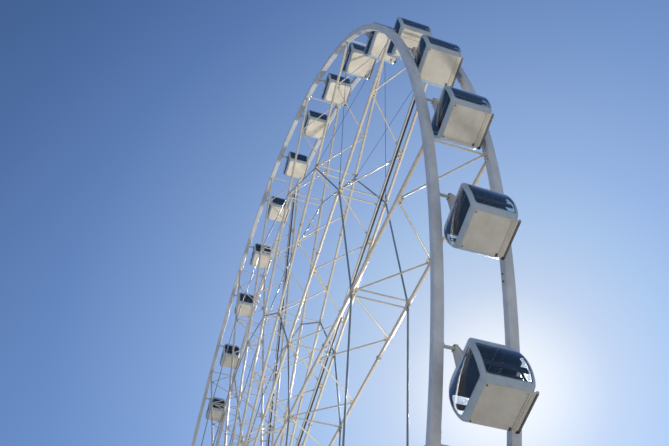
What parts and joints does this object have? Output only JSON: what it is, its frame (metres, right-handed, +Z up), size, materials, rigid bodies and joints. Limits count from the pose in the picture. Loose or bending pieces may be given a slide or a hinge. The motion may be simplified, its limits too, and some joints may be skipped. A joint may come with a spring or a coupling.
{
  "type": "giant ferris wheel, 1:2 scale model",
  "caption": "Tall observation wheel, half size: twin box rims on radial ladder frames, closed cabins hung between the rims, A-frame legs and a boarding deck.",
  "frame": {"origin": "on the ground at the middle of the base, below the hub", "axes": "+Z up; +Y along the wheel's axle, from the near rim to the far rim; +X in the plane of the wheel"},
  "size_m": [28.729, 6.4, 30.5037],
  "materials": {
    "white_steel": "satin paint",
    "cabin_shell": "satin silver-grey paint",
    "cabin_floor": "matt warm grey",
    "tinted_glass": "dark tinted",
    "hub_steel": "satin paint",
    "deck_steel": "galvanised",
    "rail_steel": "galvanised",
    "dark_fitting": "matt"
  },
  "bodies": {
    "stand": {"base_frame": "white_steel", "platform": "deck_steel", "near_bearing": "hub_steel", "near_left_leg": "white_steel", "near_right_leg": "white_steel", "near_stairs": "deck_steel", "near_railing": "rail_steel", "far_bearing": "hub_steel", "far_left_leg": "white_steel", "far_right_leg": "white_steel", "far_stairs": "deck_steel", "far_railing": "rail_steel"},
    "wheel": {"near_rim": "white_steel", "far_rim": "white_steel", "hub": "hub_steel", "spoke_bay_01": "white_steel", "spoke_bay_02": "white_steel", "spoke_bay_03": "white_steel", "spoke_bay_04": "white_steel", "spoke_bay_05": "white_steel", "spoke_bay_06": "white_steel", "spoke_bay_07": "white_steel", "spoke_bay_08": "white_steel", "spoke_bay_09": "white_steel"},
    "cabin_body_01": {"cabin_01": "cabin_shell"},
    "cabin_body_02": {"cabin_02": "cabin_shell"},
    "cabin_body_03": {"cabin_03": "cabin_shell"},
    "cabin_body_04": {"cabin_04": "cabin_shell"},
    "cabin_body_05": {"cabin_05": "cabin_shell"},
    "cabin_body_06": {"cabin_06": "cabin_shell"},
    "cabin_body_07": {"cabin_07": "cabin_shell"},
    "cabin_body_08": {"cabin_08": "cabin_shell"},
    "cabin_body_09": {"cabin_09": "cabin_shell"},
    "cabin_body_10": {"cabin_10": "cabin_shell"},
    "cabin_body_11": {"cabin_11": "cabin_shell"},
    "cabin_body_12": {"cabin_12": "cabin_shell"},
    "cabin_body_13": {"cabin_13": "cabin_shell"},
    "cabin_body_14": {"cabin_14": "cabin_shell"},
    "cabin_body_15": {"cabin_15": "cabin_shell"},
    "cabin_body_16": {"cabin_16": "cabin_shell"},
    "cabin_body_17": {"cabin_17": "cabin_shell"},
    "cabin_body_18": {"cabin_18": "cabin_shell"},
    "cabin_body_19": {"cabin_19": "cabin_shell"},
    "cabin_body_20": {"cabin_20": "cabin_shell"},
    "cabin_body_21": {"cabin_21": "cabin_shell"},
    "cabin_body_22": {"cabin_22": "cabin_shell"},
    "cabin_body_23": {"cabin_23": "cabin_shell"},
    "cabin_body_24": {"cabin_24": "cabin_shell"},
    "cabin_body_25": {"cabin_25": "cabin_shell"},
    "cabin_body_26": {"cabin_26": "cabin_shell"},
    "cabin_body_27": {"cabin_27": "cabin_shell"},
    "cabin_body_28": {"cabin_28": "cabin_shell"},
    "cabin_body_29": {"cabin_29": "cabin_shell"},
    "cabin_body_30": {"cabin_30": "cabin_shell"},
    "cabin_body_31": {"cabin_31": "cabin_shell"},
    "cabin_body_32": {"cabin_32": "cabin_shell"},
    "cabin_body_33": {"cabin_33": "cabin_shell"},
    "cabin_body_34": {"cabin_34": "cabin_shell"},
    "cabin_body_35": {"cabin_35": "cabin_shell"},
    "cabin_body_36": {"cabin_36": "cabin_shell"}
  },
  "joints": [
    {"name": "wheel_spin", "type": "hinge", "parent": "stand", "child": "wheel", "pos_m": [0, 0, 16.45], "axis": [0, 1, 0], "continuous": true},
    {"name": "cabin_01_swivel", "type": "hinge", "parent": "wheel", "child": "cabin_body_01", "pos_m": [11.78115, 0, 8.88664], "axis": [0, 1, 0], "continuous": true},
    {"name": "cabin_02_swivel", "type": "hinge", "parent": "wheel", "child": "cabin_body_02", "pos_m": [12.91553, 0, 11.04731], "axis": [0, 1, 0], "continuous": true},
    {"name": "cabin_03_swivel", "type": "hinge", "parent": "wheel", "child": "cabin_body_03", "pos_m": [13.65748, 0, 13.37215], "axis": [0, 1, 0], "continuous": true},
    {"name": "cabin_04_swivel", "type": "hinge", "parent": "wheel", "child": "cabin_body_04", "pos_m": [13.98446, 0, 15.79051], "axis": [0, 1, 0], "continuous": true},
    {"name": "cabin_05_swivel", "type": "hinge", "parent": "wheel", "child": "cabin_body_05", "pos_m": [13.88652, 0, 18.22891], "axis": [0, 1, 0], "continuous": true},
    {"name": "cabin_06_swivel", "type": "hinge", "parent": "wheel", "child": "cabin_body_06", "pos_m": [13.36665, 0, 20.61325], "axis": [0, 1, 0], "continuous": true},
    {"name": "cabin_07_swivel", "type": "hinge", "parent": "wheel", "child": "cabin_body_07", "pos_m": [12.44064, 0, 22.87109], "axis": [0, 1, 0], "continuous": true},
    {"name": "cabin_08_swivel", "type": "hinge", "parent": "wheel", "child": "cabin_body_08", "pos_m": [11.13663, 0, 24.93384], "axis": [0, 1, 0], "continuous": true},
    {"name": "cabin_09_swivel", "type": "hinge", "parent": "wheel", "child": "cabin_body_09", "pos_m": [9.49423, 0, 26.7388], "axis": [0, 1, 0], "continuous": true},
    {"name": "cabin_10_swivel", "type": "hinge", "parent": "wheel", "child": "cabin_body_10", "pos_m": [7.56336, 0, 28.23115], "axis": [0, 1, 0], "continuous": true},
    {"name": "cabin_11_swivel", "type": "hinge", "parent": "wheel", "child": "cabin_body_11", "pos_m": [5.40268, 0, 29.36553], "axis": [0, 1, 0], "continuous": true},
    {"name": "cabin_12_swivel", "type": "hinge", "parent": "wheel", "child": "cabin_body_12", "pos_m": [3.07785, 0, 30.10748], "axis": [0, 1, 0], "continuous": true},
    {"name": "cabin_13_swivel", "type": "hinge", "parent": "wheel", "child": "cabin_body_13", "pos_m": [0.65949, 0, 30.43446], "axis": [0, 1, 0], "continuous": true},
    {"name": "cabin_14_swivel", "type": "hinge", "parent": "wheel", "child": "cabin_body_14", "pos_m": [-1.7789, 0, 30.33652], "axis": [0, 1, 0], "continuous": true},
    {"name": "cabin_15_swivel", "type": "hinge", "parent": "wheel", "child": "cabin_body_15", "pos_m": [-4.16325, 0, 29.81665], "axis": [0, 1, 0], "continuous": true},
    {"name": "cabin_16_swivel", "type": "hinge", "parent": "wheel", "child": "cabin_body_16", "pos_m": [-6.42109, 0, 28.89064], "axis": [0, 1, 0], "continuous": true},
    {"name": "cabin_17_swivel", "type": "hinge", "parent": "wheel", "child": "cabin_body_17", "pos_m": [-8.48384, 0, 27.58663], "axis": [0, 1, 0], "continuous": true},
    {"name": "cabin_18_swivel", "type": "hinge", "parent": "wheel", "child": "cabin_body_18", "pos_m": [-10.2888, 0, 25.94423], "axis": [0, 1, 0], "continuous": true},
    {"name": "cabin_19_swivel", "type": "hinge", "parent": "wheel", "child": "cabin_body_19", "pos_m": [-11.78115, 0, 24.01336], "axis": [0, 1, 0], "continuous": true},
    {"name": "cabin_20_swivel", "type": "hinge", "parent": "wheel", "child": "cabin_body_20", "pos_m": [-12.91553, 0, 21.85269], "axis": [0, 1, 0], "continuous": true},
    {"name": "cabin_21_swivel", "type": "hinge", "parent": "wheel", "child": "cabin_body_21", "pos_m": [-13.65748, 0, 19.52785], "axis": [0, 1, 0], "continuous": true},
    {"name": "cabin_22_swivel", "type": "hinge", "parent": "wheel", "child": "cabin_body_22", "pos_m": [-13.98446, 0, 17.10949], "axis": [0, 1, 0], "continuous": true},
    {"name": "cabin_23_swivel", "type": "hinge", "parent": "wheel", "child": "cabin_body_23", "pos_m": [-13.88652, 0, 14.67109], "axis": [0, 1, 0], "continuous": true},
    {"name": "cabin_24_swivel", "type": "hinge", "parent": "wheel", "child": "cabin_body_24", "pos_m": [-13.36665, 0, 12.28675], "axis": [0, 1, 0], "continuous": true},
    {"name": "cabin_25_swivel", "type": "hinge", "parent": "wheel", "child": "cabin_body_25", "pos_m": [-12.44064, 0, 10.02891], "axis": [0, 1, 0], "continuous": true},
    {"name": "cabin_26_swivel", "type": "hinge", "parent": "wheel", "child": "cabin_body_26", "pos_m": [-11.13663, 0, 7.96616], "axis": [0, 1, 0], "continuous": true},
    {"name": "cabin_27_swivel", "type": "hinge", "parent": "wheel", "child": "cabin_body_27", "pos_m": [-9.49423, 0, 6.1612], "axis": [0, 1, 0], "continuous": true},
    {"name": "cabin_28_swivel", "type": "hinge", "parent": "wheel", "child": "cabin_body_28", "pos_m": [-7.56336, 0, 4.66885], "axis": [0, 1, 0], "continuous": true},
    {"name": "cabin_29_swivel", "type": "hinge", "parent": "wheel", "child": "cabin_body_29", "pos_m": [-5.40268, 0, 3.53447], "axis": [0, 1, 0], "continuous": true},
    {"name": "cabin_30_swivel", "type": "hinge", "parent": "wheel", "child": "cabin_body_30", "pos_m": [-3.07785, 0, 2.79252], "axis": [0, 1, 0], "continuous": true},
    {"name": "cabin_31_swivel", "type": "hinge", "parent": "wheel", "child": "cabin_body_31", "pos_m": [-0.65949, 0, 2.46554], "axis": [0, 1, 0], "continuous": true},
    {"name": "cabin_32_swivel", "type": "hinge", "parent": "wheel", "child": "cabin_body_32", "pos_m": [1.7789, 0, 2.56348], "axis": [0, 1, 0], "continuous": true},
    {"name": "cabin_33_swivel", "type": "hinge", "parent": "wheel", "child": "cabin_body_33", "pos_m": [4.16325, 0, 3.08335], "axis": [0, 1, 0], "continuous": true},
    {"name": "cabin_34_swivel", "type": "hinge", "parent": "wheel", "child": "cabin_body_34", "pos_m": [6.42109, 0, 4.00936], "axis": [0, 1, 0], "continuous": true},
    {"name": "cabin_35_swivel", "type": "hinge", "parent": "wheel", "child": "cabin_body_35", "pos_m": [8.48384, 0, 5.31337], "axis": [0, 1, 0], "continuous": true},
    {"name": "cabin_36_swivel", "type": "hinge", "parent": "wheel", "child": "cabin_body_36", "pos_m": [10.2888, 0, 6.95577], "axis": [0, 1, 0], "continuous": true}
  ],
  "couplings": [
    {"joint": "cabin_01_swivel", "follows": "wheel_spin", "ratio": -1},
    {"joint": "cabin_02_swivel", "follows": "wheel_spin", "ratio": -1},
    {"joint": "cabin_03_swivel", "follows": "wheel_spin", "ratio": -1},
    {"joint": "cabin_04_swivel", "follows": "wheel_spin", "ratio": -1},
    {"joint": "cabin_05_swivel", "follows": "wheel_spin", "ratio": -1},
    {"joint": "cabin_06_swivel", "follows": "wheel_spin", "ratio": -1},
    {"joint": "cabin_07_swivel", "follows": "wheel_spin", "ratio": -1},
    {"joint": "cabin_08_swivel", "follows": "wheel_spin", "ratio": -1},
    {"joint": "cabin_09_swivel", "follows": "wheel_spin", "ratio": -1},
    {"joint": "cabin_10_swivel", "follows": "wheel_spin", "ratio": -1},
    {"joint": "cabin_11_swivel", "follows": "wheel_spin", "ratio": -1},
    {"joint": "cabin_12_swivel", "follows": "wheel_spin", "ratio": -1},
    {"joint": "cabin_13_swivel", "follows": "wheel_spin", "ratio": -1},
    {"joint": "cabin_14_swivel", "follows": "wheel_spin", "ratio": -1},
    {"joint": "cabin_15_swivel", "follows": "wheel_spin", "ratio": -1},
    {"joint": "cabin_16_swivel", "follows": "wheel_spin", "ratio": -1},
    {"joint": "cabin_17_swivel", "follows": "wheel_spin", "ratio": -1},
    {"joint": "cabin_18_swivel", "follows": "wheel_spin", "ratio": -1},
    {"joint": "cabin_19_swivel", "follows": "wheel_spin", "ratio": -1},
    {"joint": "cabin_20_swivel", "follows": "wheel_spin", "ratio": -1},
    {"joint": "cabin_21_swivel", "follows": "wheel_spin", "ratio": -1},
    {"joint": "cabin_22_swivel", "follows": "wheel_spin", "ratio": -1},
    {"joint": "cabin_23_swivel", "follows": "wheel_spin", "ratio": -1},
    {"joint": "cabin_24_swivel", "follows": "wheel_spin", "ratio": -1},
    {"joint": "cabin_25_swivel", "follows": "wheel_spin", "ratio": -1},
    {"joint": "cabin_26_swivel", "follows": "wheel_spin", "ratio": -1},
    {"joint": "cabin_27_swivel", "follows": "wheel_spin", "ratio": -1},
    {"joint": "cabin_28_swivel", "follows": "wheel_spin", "ratio": -1},
    {"joint": "cabin_29_swivel", "follows": "wheel_spin", "ratio": -1},
    {"joint": "cabin_30_swivel", "follows": "wheel_spin", "ratio": -1},
    {"joint": "cabin_31_swivel", "follows": "wheel_spin", "ratio": -1},
    {"joint": "cabin_32_swivel", "follows": "wheel_spin", "ratio": -1},
    {"joint": "cabin_33_swivel", "follows": "wheel_spin", "ratio": -1},
    {"joint": "cabin_34_swivel", "follows": "wheel_spin", "ratio": -1},
    {"joint": "cabin_35_swivel", "follows": "wheel_spin", "ratio": -1},
    {"joint": "cabin_36_swivel", "follows": "wheel_spin", "ratio": -1}
  ]
}
